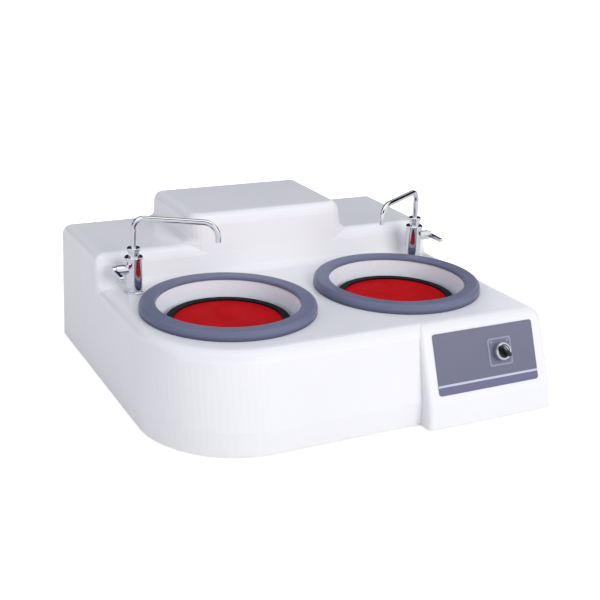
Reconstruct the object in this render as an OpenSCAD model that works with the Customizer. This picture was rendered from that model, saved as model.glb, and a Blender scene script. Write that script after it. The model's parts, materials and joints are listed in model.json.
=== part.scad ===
// Metallographic grinding machine: a bench machine with two water-cooled grinding discs.
// Millimetres. +X is to the right, +Y to the back, +Z up.
// The origin is on the bench, under the centre of the housing's lower rectangle.

/* [Housing] */
// Width of the deck beside each splash ring, measured at the bench
side_margin = 28.8; // [20:0.2:50]
// Depth of the housing in front of the splash rings, measured at the bench
front_margin = 73.3; // [60:0.1:90]
// Gap between a splash ring and the foot of the rear wall
wall_margin = 20.8; // [18:0.2:30]
// Depth of the housing behind the foot of the rear wall
rear_d = 244.5; // [236:0.5:260]
// Rise of the rear step above the deck
step_rise = 58; // [50:1:66]
// Width of the motor block
block_w = 320; // [280:5:360]
// Height of the upright skirt round the housing's foot
skirt_h = 45; // [30:1:60]
// Radius of the large rounded corner at the front left
corner_r = 172; // [100:2:180]
// Radius of the other upright corners
small_r = 16; // [10:1:24]
// Radius of the housing's outer top edges
edge_r = 19; // [12:1:22]
// Radius of the hollow where an upright wall meets a level face
root_r = 12; // [6:1:14]
// Upright corner radius of the motor block
block_corner_r = 30; // [20:1:40]
// Upright corner radius of the rear step
wall_corner_r = 14; // [8:1:20]
// Thickness of the moulded housing
shell_t = 5; // [4:0.5:6]
// Gap between the housing's lower edge and the bench
lift = 3; // [1:0.5:4]

/* [Control pod] */
// Width of the pod at the bench
pod_w = 258; // [240:1:280]
// How far the pod stands out of the housing at the bench
pod_out = 30; // [24:1:36]
// How much of that is lost over the height of the skirt
pod_toe = 7.5; // [4:0.5:12]
// Radius of the pod's left front corner
pod_r = 9; // [4:1:14]

/* [Control panel] */
// Distance of the grey panel from the pod's left side
panel_left = 21.5; // [18:0.5:40]
// Distance of the panel from the pod's right side
panel_right = 30.5; // [24:0.5:40]
// Distance of the panel's lower edge from the skirt, along the slope
panel_low = 14; // [10:0.5:16]
// Distance of the panel's upper edge from the height of the deck, along the slope
panel_high = 15.3; // [14:0.1:24]
// Thickness of the panel
panel_t = 1.2; // [0.8:0.1:2]
// Corner radius of the panel
panel_r = 5; // [2:0.5:8]
// Height of the light stripe across the panel
stripe_h = 4; // [2:0.5:6]
// Distance of the stripe's centre from the panel's lower edge
stripe_up = 16; // [10:1:24]
// Width and height of the light square round the switch
mark_w = 49; // [44:1:54]
// Width of the line that draws the square
mark_line = 3.4; // [2:0.2:4]

/* [Selector switch] */
// Distance of the switch's centre to the right of the panel's centre
switch_dx = 30; // [20:1:40]
// Distance of the switch's centre above the panel's centre
switch_dy = 6; // [0:1:12]
// Outer radius of the chrome bezel
bezel_r = 15.5; // [14:0.5:18]
// Height of the bezel above the panel
bezel_h = 12; // [8:1:15]
// Radius of the round part of the knob
knob_r = 10.6; // [9:0.2:12]
// Length of the knob's grip
grip_l = 23; // [18:1:26]
// Width of the knob's grip
grip_w = 6.4; // [5:0.2:8]
// Height of the grip's top above the panel
grip_h = 23; // [18:1:26]
// Angle from upright to each of the two marked positions
knob_turn = 40; // [30:1:50]
// Radius of the threaded neck of the switch
switch_neck_r = 11; // [8:0.5:11.2]
// Width of the contact block
contact_w = 30; // [26:1:34]
// Depth of the contact block
contact_d = 40; // [30:1:44]

/* [Discs] */
// Radius of the red grinding cloth
cloth_r = 101.5; // [90:0.5:120]
// Thickness of the cloth
cloth_t = 1.5; // [1:0.1:2]
// Depth of the cloth's top under the deck
cloth_low = 20; // [19:0.5:24]
// Width of the turntable's edge outside the cloth
platen_edge = 2.7; // [1:0.1:4]
// Thickness of the turntable
platen_t = 14; // [12:1:16]
// How far the black hoop laps over the cloth
hoop_lap = 7.1; // [4:0.1:10]
// Thickness of the hoop's skirt
hoop_t = 3.7; // [2.5:0.1:5]
// Height of the hoop above the cloth
hoop_h = 3; // [2:0.5:4]
// Length of the hoop's skirt under the cloth
hoop_skirt = 9; // [6:0.5:11]

/* [Bowls] */
// Gap between the hoop and the bowl at its floor
bowl_gap = 10.8; // [8:0.1:16]
// How much wider the bowl is at its rim than at its floor
bowl_flare = 6.5; // [4:0.1:10]
// Wall thickness of the bowl
bowl_t = 4; // [3:0.5:5]
// Height of the bowl's rim above the deck
rim_h = 9; // [7:0.5:10]
// Width of the flange by which the bowl hangs on the deck
flange_w = 12.5; // [8:0.5:14]
// Thickness of that flange
flange_t = 3; // [2:0.5:4]

/* [Splash rings] */
// Gap between the two rings
ring_gap = 29.6; // [24:0.2:60]
// How far the ring's inner lip reaches in over the bowl
ring_lip = 1.1; // [0.6:0.1:3]
// Width of the ring's top outside the bowl's inner edge
ring_top_w = 21.1; // [20:0.1:24]
// How much wider the ring is at the deck than at its top
ring_slope = 6.6; // [5:0.1:9]
// Height of the ring above the deck
ring_h = 16.2; // [14:0.2:20]

/* [Spindles] */
// Radius of the spindle in its bearings
spindle_r = 12.5; // [10:0.5:12.5]
// Radius of the shoulder between the bearings
shoulder_r = 15.5; // [14:0.5:16]
// Radius of the spindle's head under the turntable
head_r = 29; // [24:1:30]
// Thickness of the head
head_t = 8; // [6:0.5:8]
// Radius of the pilot that centres the turntable
pilot_r = 10; // [8:0.5:12]
// Height of the pilot
pilot_h = 9; // [6:0.5:9]
// Radius of the bearing housing's neck, which passes up through the bowl
neck_r = 34; // [33:0.5:35]
// Radius of the bearing housing's flange
housing_flange_r = 52; // [48:1:54]
// Thickness of that flange
housing_flange_t = 10; // [8:0.5:12]
// Length of the bearing housing under the flange
housing_low_l = 54; // [48:1:64]
// Outer radius of a spindle bearing
bearing_r = 26; // [24:0.5:27]
// Width of a spindle bearing
bearing_w = 15; // [12:0.5:16]

/* [Belt drive] */
// Pitch radius of both grooves of the motor pulley
motor_pitch_r = 30; // [28:0.5:32]
// Pitch radius of the left spindle's pulley
left_pitch_r = 90; // [84:0.5:91]
// Pitch radius of the right spindle's pulley
right_pitch_r = 67.5; // [60:0.5:72]
// Width of a belt at its back
belt_w = 10; // [9:0.5:11]
// Thickness of a belt
belt_t = 6; // [5:0.5:6]
// Height between the two belts' middle planes
belt_pitch = 12; // [12:0.5:14]

/* [Motor] */
// Distance of the motor's axis from the housing's back
motor_back = 114.5; // [108:0.5:120]
// Radius of the motor's frame without its fins
motor_r = 66; // [60:1:68]
// Height of the motor's cooling fins
fin_h = 6; // [4:0.5:8]
// Number of cooling fins
fin_count = 36; // [24:1:40]
// Radius of the motor's shaft
motor_shaft_r = 9.5; // [8:0.5:10]
// Length of the finned frame
motor_l = 140; // [130:1:142]
// Height of the fan cover
fan_cover_h = 34; // [30:1:36]

/* [Taps] */
// Distance of each tap's axis from the housing's side
tap_in = 60; // [56:1:64]
// Distance of the taps' axes in front of the rear wall's foot
tap_front = 35; // [32:1:40]
// Radius of the tap's body
tap_r = 15; // [13:0.5:16]
// Height of the tap's body above the deck
tap_h = 62; // [56:1:66]
// Radius of the tap's foot
tap_foot_r = 18; // [17:0.5:20]
// Radius of the tap's neck
tap_neck_r = 9.7; // [9:0.1:10.5]
// Height of the neck above the body
tap_neck_h = 14; // [12:1:18]
// Radius of the swivel nut on the neck
swivel_nut_r = 12; // [11.5:0.5:13]
// Radius of the spout's tube
spout_r = 5; // [4.5:0.1:5.5]
// Wall thickness of the spout's tube
spout_t = 1.2; // [1:0.1:1.5]
// Height of the spout's arm above the deck
spout_h = 136; // [130:1:142]
// Distance of the nozzle from the tap's axis
spout_reach = 150; // [140:1:154]
// Angle at which the spouts point forward at rest
spout_turn = 33; // [25:1:40]
// Radius of the bend over the tap
spout_bend_r = 20; // [16:1:26]
// Radius of the nozzle's bend
nozzle_bend_r = 26; // [20:1:30]
// Straight end of the nozzle
nozzle_l = 8; // [4:1:12]
// Height of the valve's axis above the deck
valve_h = 43; // [38:1:46]
// Radius of the valve's barrel
valve_r = 9; // [8:0.5:10]
// Reach of the valve's barrel from the tap's axis
valve_reach = 33; // [30:1:35]
// Length of the lever from the valve's axis
lever_l = 46; // [40:1:52]

/* [Chassis] */
// Height of the rubber feet
foot_h = 8; // [6:0.5:9]
// Radius of the rubber feet
foot_r = 18; // [14:1:22]
// Thickness of the steel base plate
base_t = 4; // [3:0.5:4]
// Thickness of the folded steel under the spindles and the motor
sheet_t = 6; // [5:0.5:7]
// Room for bolt heads between the base plate and the pulleys
bolt_room = 10.5; // [10:0.5:14]
// How far the spindle bridge reaches past the bearing housings' flanges, in front and behind
bridge_edge = 3; // [2:0.5:6]
// Distance of the bridge's end legs from the housing's sides
bridge_in = 60; // [56:1:70]
// Height of the motor bracket's top face above the bench
bracket_h = 72; // [70:0.5:74]
// Air above the motor's fan cover
motor_air = 19; // [12:1:30]
// Half the distance between the motor bracket's legs
bracket_x = 105; // [102:1:110]

/* [Water] */
// Outer radius of the drain hoses
drain_hose_r = 13; // [12:0.5:14]
// Outer radius of the bowl's drain spout and of the outlet pipes
drain_r = 10; // [9:0.5:10.5]
// Wall thickness of the spout and the outlet pipes
drain_t = 2; // [1.5:0.5:3]
// Distance of the drain's axis from the foot of the bowl's wall
drain_in = 19; // [18:0.5:22]
// Height of the drain hoses and outlets above the bench
drain_z = 67; // [66:0.5:68]
// Outer radius of the supply hoses
supply_r = 6; // [5:0.5:7]
// Height of the supply hoses and the inlet above the bench
supply_z = 105; // [100:1:110]
// Distance of the cross hose from the housing's back
supply_back = 22.5; // [20:0.5:26]

/* [Hidden] */

// Smoothness of round forms
$fn = 72;
// Overrun of every cut past the face that it opens
over = 1;
// Radial play of a fixed fit
fit_gap = 0.02;
// Radial play of a running fit
run_gap = 0.05;
// Gap between pieces that move past each other
clear = 0.3;
// Setback of an upper storey's sides from the storey below
seam = 0.15;
// Smallest corner radius left where an edge is rounded
tip_r = 0.8;
// Inward slope of the housing's sides, for each millimetre of height
draft_share = 0.018;
// Backward slope of the housing's front above its skirt
front_lean_share = 0.232;
// Backward slope of the pod's front above the skirt
pod_lean_share = 0.392;
// Backward slope of the rear wall and of the motor block's front
wall_lean_share = 0.22;
// Number of faces round the large corner
big_steps = 24;
// Number of faces round a small corner
small_steps = 5;
// Number of faces round an edge
edge_steps = 5;
// Angle of a quarter turn
quarter = 90;
// Side wall of a pulley's rim beside its groove
rim_side = 2.5;
// How far a pulley's hub stands above the upper rim, and its gap to the bearing housing
hub_over = 0.5;
hub_gap = 2;
// Height of the bearing housing's neck, and the gap over it
housing_neck_h = 8;
head_gap = 2.5;
// Thickness of the motor's mounting flange
motor_flange_t = 10;

// Colours
white = [0.93, 0.93, 0.96];
slate = [0.42, 0.44, 0.60];
red = [0.72, 0.08, 0.10];
black = [0.05, 0.05, 0.06];
chrome = [0.80, 0.80, 0.84];
steel = [0.62, 0.63, 0.66];
iron = [0.33, 0.36, 0.38];
copper = [0.72, 0.43, 0.25];
light = [0.78, 0.79, 0.88];
rubber = [0.10, 0.10, 0.11];

// Radii, each from the one inside it
platen_r = cloth_r + platen_edge;
hoop_in_r = cloth_r - hoop_lap;
hoop_r = platen_r + clear + hoop_t;
bowl_floor_r = hoop_r + bowl_gap;
bowl_r = bowl_floor_r + bowl_flare;
flange_r = bowl_r + bowl_t + flange_w;
ring_lip_r = bowl_r - ring_lip;
ring_top_r = bowl_r + ring_top_w;
ring_r = ring_top_r + ring_slope;

// Plan of the housing
disc_x = ring_r + ring_gap / 2;
body_w = 2 * (disc_x + ring_r + side_margin);
body_d = 2 * ring_r + front_margin + wall_margin + rear_d;
disc_y = body_d / 2 - front_margin - ring_r;
wall_y = body_d / 2 - rear_d;
pod_x = body_w / 2 - pod_w;
tap_x = body_w / 2 - tap_in;
tap_y = wall_y - tap_front;
motor_y = body_d / 2 - motor_back;
supply_y = body_d / 2 - supply_back;
bridge_x = body_w / 2 - bridge_in;
bridge_d = 2 * (housing_flange_r + bridge_edge);

// Heights, each from the one under it
base_top = foot_h + base_t;
rim_w = belt_w + 2 * rim_side;
hub_low = base_top + bolt_room;
right_belt_z = hub_low + rim_w / 2;
left_belt_z = right_belt_z + belt_pitch;
hub_top = left_belt_z + rim_w / 2 + hub_over;
housing_low = hub_top + hub_gap;
bridge_h = housing_low + housing_low_l;
housing_flange_top = bridge_h + housing_flange_t;
bowl_low = housing_flange_top;
bowl_floor_z = bowl_low + bowl_t;
housing_top = housing_flange_top + housing_neck_h;
head_low = housing_top + head_gap;
platen_low = head_low + head_t;
platen_top = platen_low + platen_t;
cloth_top = platen_top + cloth_t;
deck_h = cloth_top + cloth_low;
step_h = deck_h + step_rise;
motor_low = bracket_h + motor_flange_t;
motor_high = motor_low + motor_l;
block_h = motor_high + fan_cover_h + motor_air + shell_t;

// Half width of the housing at height z, with its skin moved in by t
function half_at(z, t) = body_w / 2 - draft_share * z - t;
// Back, front, pod front and rear wall at height z, with the skin moved in by t
function back_at(z, t) = body_d / 2 - draft_share * z - t;
function front_at(z, t) = -body_d / 2 + front_lean_share * max(z - skirt_h, 0) + t;
function pod_front_at(z, t) = -body_d / 2 - pod_out + t
  + (z < skirt_h ? pod_toe * z / skirt_h : pod_toe + pod_lean_share * (z - skirt_h));
function wall_at(z, t) = wall_y + wall_lean_share * (z - deck_h) + t;

// Points on a quarter of an ellipse round (cx, cy), from angle a
function corner(cx, cy, rx, ry, a, n) =
  [for (i = [0:n]) [cx + rx * cos(a + quarter * i / n), cy + ry * sin(a + quarter * i / n)]];
// A rectangle with elliptical corners, anticlockwise from the front left.
// Each of r is [radius in x, radius in y], and each of n a number of steps.
function outline(x0, x1, y0, y1, r, n) = concat(
  corner(x0 + r[0][0], y0 + r[0][1], r[0][0], r[0][1], 2 * quarter, n[0]),
  corner(x1 - r[1][0], y0 + r[1][1], r[1][0], r[1][1], 3 * quarter, n[1]),
  corner(x1 - r[2][0], y1 - r[2][1], r[2][0], r[2][1], 0, n[2]),
  corner(x0 + r[3][0], y1 - r[3][1], r[3][0], r[3][1], quarter, n[3]));
// A round corner's radius where the outline is moved in by i
function shrunk(r, i) = let (s = max(r - i, tip_r)) [s, s];
// Heights and insets up a rounded top edge of radius r that ends at height h
function edge_levels(h, r, n) =
  [for (i = [0:n]) let (a = quarter * i / n) [h - r + r * sin(a), r * (1 - cos(a))]];

// Outlines of the four storeys of the housing, at height z, inset i, skin moved in by t
function body_outline(z, i, t) = outline(
  -half_at(z, t) + i, half_at(z, t) - i, front_at(z, t) + i, back_at(z, t) - i,
  [shrunk(corner_r, t + i), shrunk(small_r, t + i), shrunk(small_r, t + i), shrunk(small_r, t + i)],
  [big_steps, small_steps, small_steps, small_steps]);
function step_outline(z, i, flare, t) = let (
    rx = shrunk(wall_corner_r, t + i)[0] + edge_r * flare / root_r,
    ry = shrunk(wall_corner_r, t + i)[1] + flare)
  outline(-half_at(z, t) + seam + i, half_at(z, t) - seam - i,
    wall_at(z, t) + i - flare, back_at(z, t) - seam - i,
    [[rx, ry], [rx, ry], shrunk(small_r, t + i + seam), shrunk(small_r, t + i + seam)],
    [small_steps, small_steps, small_steps, small_steps]);
function block_outline(z, i, flare, t) = let (
    half = block_w / 2 - draft_share * (z - step_h) - t - i + flare,
    front_r = [shrunk(block_corner_r, t + i)[0] + flare, shrunk(block_corner_r, t + i)[1]],
    back_r = [shrunk(small_r, t + i)[0] + flare, shrunk(small_r, t + i)[1]])
  outline(-half, half, wall_at(z, t) + seam + i, back_at(z, t) - 2 * seam - i,
    [front_r, front_r, back_r, back_r], [small_steps, small_steps, small_steps, small_steps]);
function pod_outline(z, i, t) = outline(
  pod_x + t + i, half_at(z, t) - seam - i, pod_front_at(z, t) + i, front_at(z, t) + edge_r * 2,
  [shrunk(pod_r, t + i), shrunk(small_r, t + i), [tip_r, tip_r], [tip_r, tip_r]],
  [small_steps, small_steps, 1, 1]);
// Hollow root of a wall that stands on a face at height h: [height, flare]
function root_levels(h) =
  [for (i = [0:edge_steps]) let (a = quarter * i / edge_steps)
    [h + root_r * (1 - cos(a)), root_r * (1 - sin(a))]];

// A closed skin through levels, each [height, outline]
module loft(levels) {
  m = len(levels[0][1]);
  k = len(levels);
  polyhedron(
    points = [for (l = levels) for (p = l[1]) [p[0], p[1], l[0]]],
    faces = concat(
      [[for (i = [0:m - 1]) i]],
      [for (j = [0:k - 2], i = [0:m - 1])
        [j * m + i, (j + 1) * m + i, (j + 1) * m + (i + 1) % m]],
      [for (j = [0:k - 2], i = [0:m - 1])
        [j * m + i, (j + 1) * m + (i + 1) % m, j * m + (i + 1) % m]],
      [[for (i = [m - 1:-1:0]) (k - 1) * m + i]]));
}

// The housing's form with its skin moved in by t, from height z0 up
module storeys(t, z0) {
  r = edge_r - t;
  n = t > 0 ? 2 : edge_steps;
  loft(concat(
    [[z0, body_outline(max(z0, 0), 0, t)], [skirt_h, body_outline(skirt_h, 0, t)]],
    [for (e = edge_levels(deck_h - t, r, n)) [e[0], body_outline(e[0], e[1], t)]]));
  loft(concat(
    [[z0 + seam, pod_outline(max(z0, 0), 0, t)], [skirt_h, pod_outline(skirt_h, 0, t)]],
    [for (e = edge_levels(deck_h - t - seam, r, n)) [e[0], pod_outline(e[0], e[1], t)]]));
  step_foot = t > 0 ? [] : root_levels(deck_h);
  loft(concat(
    [let (z = deck_h - edge_r - root_r) [z, step_outline(z, 0, t > 0 ? 0 : root_r, t)]],
    [for (e = step_foot) [e[0], step_outline(e[0], 0, e[1], t)]],
    [for (e = edge_levels(step_h - t, r, n)) [e[0], step_outline(e[0], e[1], 0, t)]]));
  block_foot = t > 0 ? [] : root_levels(step_h);
  loft(concat(
    [let (z = step_h - edge_r - root_r) [z, block_outline(z, 0, t > 0 ? 0 : root_r, t)]],
    [for (e = block_foot) [e[0], block_outline(e[0], 0, e[1], t)]],
    [for (e = edge_levels(block_h - t, r, n)) [e[0], block_outline(e[0], e[1], 0, t)]]));
}

// Places and sizes of the housing's fixings
boss_r = 8;
boss_h = 30;
boss_in = 14;
boss_screw_r = 1.9;
boss_screw_l = 18;
screw_head_r = 4;
screw_head_h = 3;
side_boss_y = [-60, 200];
back_boss_x = 170;
front_boss_x = -50;
boss_z = base_top;
boss_at = concat(
  [for (side = [-1, 1], y = side_boss_y) [side * (half_at(boss_z, shell_t) - boss_in), y, [side, 0]]],
  [for (side = [-1, 1]) [side * back_boss_x, back_at(boss_z, shell_t) - boss_in, [0, 1]]],
  [[front_boss_x, front_at(boss_z, shell_t) + boss_in, [0, -1]]]);
vent_count = 8;
vent_w = 130;
vent_h = 5;
vent_pitch = 9;
vent_up = 58;
vent_z = motor_low + vent_up;

// Rear fittings
back_reach = -pod_front_at(lift, 0);
drain_turn = 50;
drain_at = bowl_floor_r - drain_in;
drain_x = disc_x + round(drain_at * cos(drain_turn));
drain_y = -disc_y + round(drain_at * sin(drain_turn));
gland_x = 140;
gland_z = 50;
gland_r = 8;
inlet_r = 9;

// Pod slope, and size and place of the panel
pod_lean = atan(pod_lean_share);
panel_w = pod_w - panel_left - panel_right;
panel_x = pod_x + panel_left + panel_w / 2;
panel_h = (deck_h - skirt_h) / cos(pod_lean) - panel_low - panel_high;
panel_up = panel_low + panel_h / 2;
tap_shank_r = 10;
drain_nut_r = 17;
drain_nut_t = 8;

// Puts its children on the panel's face, with +Z out of the face and +Y up the slope
module on_panel(dx, dy) {
  up = panel_up + dy;
  translate([panel_x + dx, pod_front_at(skirt_h, 0) + up * sin(pod_lean), skirt_h + up * cos(pod_lean)])
    rotate([quarter - pod_lean, 0, 0])
      children();
}
module at_discs() {
  for (side = [-1, 1]) translate([side * disc_x, -disc_y, 0]) children();
}
// A round bar along Y from y0 to y1
module bar_y(r, y0, y1) {
  translate([0, y0, 0]) rotate([-quarter, 0, 0]) cylinder(r = r, h = y1 - y0);
}
// A round bar along X from x0 to x1
module bar_x(r, x0, x1) {
  translate([x0, 0, 0]) rotate([0, quarter, 0]) cylinder(r = r, h = x1 - x0);
}
// A flat plate with round corners, standing on z = 0 and centred on the axis
module round_plate(w, h, r, t) {
  linear_extrude(height = t)
    polygon(outline(-w / 2, w / 2, -h / 2, h / 2, [for (i = [0:3]) [r, r]], [for (i = [0:3])
      small_steps]));
}

module screw_boss(at) {
  wall = [at[0] + at[2][0] * (boss_in + shell_t / 2), at[1] + at[2][1] * (boss_in + shell_t / 2)];
  web = boss_r;
  difference() {
    union() {
      translate([at[0], at[1], boss_z]) cylinder(r = boss_r, h = boss_h);
      translate([min(at[0], wall[0]) - abs(at[2][1]) * web / 2, min(at[1],
        wall[1]) - abs(at[2][0]) * web / 2, boss_z])
        cube([abs(wall[0] - at[0]) + abs(at[2][1]) * web, abs(wall[1] - at[1]) + abs(at[2][0]) * web,
          boss_h]);
    }
    translate([at[0], at[1], boss_z - over]) cylinder(r = boss_screw_r + fit_gap,
      h = boss_screw_l + over);
  }
}

module shell() color(white) {
  difference() {
    storeys(0, lift);
    storeys(shell_t, lift - over);
    translate([0, 0, deck_h - shell_t - over]) {
      at_discs() cylinder(r = bowl_r + bowl_t + clear, h = shell_t + 2 * over);
      for (side = [-1, 1])
        translate([side * tap_x, tap_y, 0]) cylinder(r = tap_shank_r + clear, h = shell_t + 2 * over);
    }
    on_panel(switch_dx, switch_dy) translate([0, 0, -shell_t - over])
      cylinder(r = switch_neck_r + clear, h = shell_t + 2 * over);
    y0 = back_at(block_h, shell_t) - 2 * over;
    y1 = body_d / 2 + over;
    for (side = [-1, 1]) translate([side * drain_x, 0, drain_z]) bar_y(drain_r + clear, y0, y1);
    translate([-tap_x, 0, supply_z]) bar_y(inlet_r + clear, y0, y1);
    translate([gland_x, 0, gland_z]) bar_y(gland_r + clear, y0, y1);
    for (i = [0:vent_count - 1]) translate([-vent_w / 2, y0, vent_z + i * vent_pitch]) cube([vent_w,
      y1 - y0, vent_h]);
  }
  for (at = boss_at) screw_boss(at);
}

// Places of the feet
foot_in = 52.5;
corner_foot_in = 110;
foot_at = [[-body_w / 2 + corner_foot_in, -body_d / 2 + corner_foot_in],
  for (p = [[1, -1], [-1, 1], [1, 1]]) [p[0] * (body_w / 2 - foot_in), p[1] * (body_d / 2 - foot_in)]];
foot_screw_r = 3;
foot_head_r = 5.5;
foot_head_h = 3;
foot_recess_h = 4;
foot_taper = 2;
// Feet of the spindle bridge and of the motor bracket
leg_foot = 24;
leg_bolt_r = 4;
leg_head_r = 6.5;
leg_head_h = 5;
leg_bolt_dy = 35;
bracket_leg_front = 53;
bracket_back = 80;
bracket_reach = 82;
bracket_y0 = motor_y - bracket_leg_front;
bracket_y1 = motor_y + bracket_back;
bracket_front = motor_y - bracket_reach;
leg_bolts = concat(
  [for (side = [-1, 1], dy = [-1, 1]) [side * (bridge_x + leg_foot - sheet_t),
  -disc_y + dy * leg_bolt_dy]],
  [for (side = [-1, 1], dy = [-1, 1]) [side * (sheet_t + leg_foot) / 2, -disc_y + dy * leg_bolt_dy]],
  [for (side = [-1, 1], y = [bracket_y0 + leg_foot,
  bracket_y1 - leg_foot]) [side * (bracket_x + leg_foot - sheet_t), y]]);

// Gap between the base plate and the housing's skin, and the air holes under the motor
plate_gap = 1;
air_hole_count = 8;
air_hole_r = 9;
module base_plate() color(steel) difference() {
  translate([0, 0, foot_h]) linear_extrude(height = base_t) {
    polygon(body_outline(base_top, 0, shell_t + plate_gap));
    polygon(pod_outline(base_top, 0, shell_t + plate_gap));
  }
  for (p = foot_at) translate([p[0], p[1], 0]) cylinder(r = foot_screw_r + fit_gap, h = base_top + over);
  for (p = leg_bolts) translate([p[0], p[1], 0]) cylinder(r = leg_bolt_r + fit_gap, h = base_top + over);
  for (p = boss_at) translate([p[0], p[1], 0]) cylinder(r = boss_screw_r + fit_gap, h = base_top + over);
  for (i = [0:air_hole_count - 1]) translate([0, motor_y, 0]) rotate([0, 0,
    i * 4 * quarter / air_hole_count])
    translate([motor_r, 0, 0]) cylinder(r = air_hole_r, h = base_top + over);
}

module feet() color(rubber) for (p = foot_at) translate([p[0], p[1], 0]) difference() {
  cylinder(r1 = foot_r - foot_taper, r2 = foot_r, h = foot_h);
  translate([0, 0, -over]) cylinder(r = foot_head_r + clear, h = foot_recess_h + over);
  cylinder(r = foot_screw_r + fit_gap, h = foot_h + over);
}
module base_screws() color(steel) {
  for (p = foot_at) translate([p[0], p[1], 0]) {
    translate([0, 0, foot_recess_h - foot_head_h]) cylinder(r = foot_head_r, h = foot_head_h);
    translate([0, 0, foot_recess_h]) cylinder(r = foot_screw_r, h = base_top - foot_recess_h);
  }
  for (p = boss_at) translate([p[0], p[1], foot_h - screw_head_h]) {
    cylinder(r = screw_head_r, h = screw_head_h);
    translate([0, 0, screw_head_h]) cylinder(r = boss_screw_r, h = base_t + boss_screw_l);
  }
}

// Bearing housing
housing_r = 36;
bearing_lip = 2;
upper_bearing_z = housing_top - 2 * bearing_lip - bearing_w;
lower_bearing_z = housing_low + bearing_lip;
housing_bolt_r = 3;
housing_bolt_at = 44;
housing_bolt_l = 12;
housing_bolt_head_r = 5;
housing_bolt_head_h = 5;
motor_flange_r = 88;
motor_bolt_at = 80;
motor_bolt_r = 4;
motor_head_r = 6.5;
motor_head_h = 6;
motor_bolt_turn = quarter / 2;
nut_h = 6;

module four_bolts(at) {
  for (i = [0:3]) rotate([0, 0, motor_bolt_turn + i * quarter]) translate([at, 0, 0]) children();
}
module bearing_housing() color(iron) difference() {
  union() {
    translate([0, 0, housing_low]) cylinder(r = housing_r, h = housing_low_l);
    translate([0, 0, bridge_h]) cylinder(r = housing_flange_r, h = housing_flange_t);
    translate([0, 0, housing_flange_top]) cylinder(r = neck_r, h = housing_neck_h);
  }
  translate([0, 0, housing_low - over]) cylinder(r = bearing_r - bearing_lip,
    h = housing_top - housing_low + 2 * over);
  translate([0, 0, housing_low - over]) cylinder(r = bearing_r + fit_gap,
    h = bearing_lip + bearing_w + over);
  translate([0, 0, upper_bearing_z]) cylinder(r = bearing_r + fit_gap,
    h = housing_top - upper_bearing_z + over);
  four_bolts(housing_bolt_at) translate([0, 0, bridge_h - over])
    cylinder(r = housing_bolt_r + fit_gap, h = housing_bolt_l - sheet_t + over);
}
module left_bearing_housing() translate([-disc_x, -disc_y, 0]) bearing_housing();
module right_bearing_housing() translate([disc_x, -disc_y, 0]) bearing_housing();

module chassis_bolts() color(steel) {
  for (p = leg_bolts) translate([p[0], p[1], foot_h]) {
    cylinder(r = leg_bolt_r, h = base_t + sheet_t);
    translate([0, 0, base_t + sheet_t]) cylinder(r = leg_head_r, h = leg_head_h, $fn = 6);
  }
  at_discs() four_bolts(housing_bolt_at) translate([0, 0, bridge_h - sheet_t]) {
    cylinder(r = housing_bolt_r, h = housing_bolt_l);
    translate([0, 0, -housing_bolt_head_h]) cylinder(r = housing_bolt_head_r,
      h = housing_bolt_head_h, $fn = 6);
  }
  translate([0, motor_y, bracket_h]) four_bolts(motor_bolt_at) {
    translate([0, 0, motor_flange_t]) cylinder(r = motor_head_r, h = motor_head_h, $fn = 6);
    translate([0, 0, -sheet_t]) cylinder(r = motor_bolt_r, h = sheet_t + motor_flange_t);
    translate([0, 0, -sheet_t - nut_h]) cylinder(r = motor_head_r, h = nut_h, $fn = 6);
  }
}

module spindle_bridge() color(steel) difference() {
  translate([0, -disc_y + bridge_d / 2, 0]) rotate([quarter, 0, 0]) linear_extrude(height = bridge_d) {
    polygon([[-bridge_x, bridge_h], [-bridge_x, base_top + sheet_t], [-bridge_x - leg_foot,
      base_top + sheet_t],
      [-bridge_x - leg_foot, base_top], [-bridge_x + sheet_t, base_top], [-bridge_x + sheet_t,
      bridge_h - sheet_t],
      [-sheet_t / 2, bridge_h - sheet_t], [-sheet_t / 2, base_top + sheet_t],
      [-sheet_t / 2 - leg_foot, base_top + sheet_t], [-sheet_t / 2 - leg_foot, base_top],
      [sheet_t / 2 + leg_foot, base_top], [sheet_t / 2 + leg_foot, base_top + sheet_t],
      [sheet_t / 2, base_top + sheet_t], [sheet_t / 2, bridge_h - sheet_t],
      [bridge_x - sheet_t, bridge_h - sheet_t], [bridge_x - sheet_t, base_top],
      [bridge_x + leg_foot, base_top], [bridge_x + leg_foot, base_top + sheet_t],
      [bridge_x, base_top + sheet_t], [bridge_x, bridge_h]]);
  }
  at_discs() {
    translate([0, 0, bridge_h - sheet_t - over]) cylinder(r = housing_r + clear, h = sheet_t + 2 * over);
    four_bolts(housing_bolt_at) translate([0, 0, bridge_h - sheet_t - over])
      cylinder(r = housing_bolt_r + fit_gap, h = sheet_t + 2 * over);
  }
  for (p = leg_bolts) translate([p[0], p[1], base_top - over]) cylinder(r = leg_bolt_r + fit_gap,
    h = sheet_t + 2 * over);
}
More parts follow.
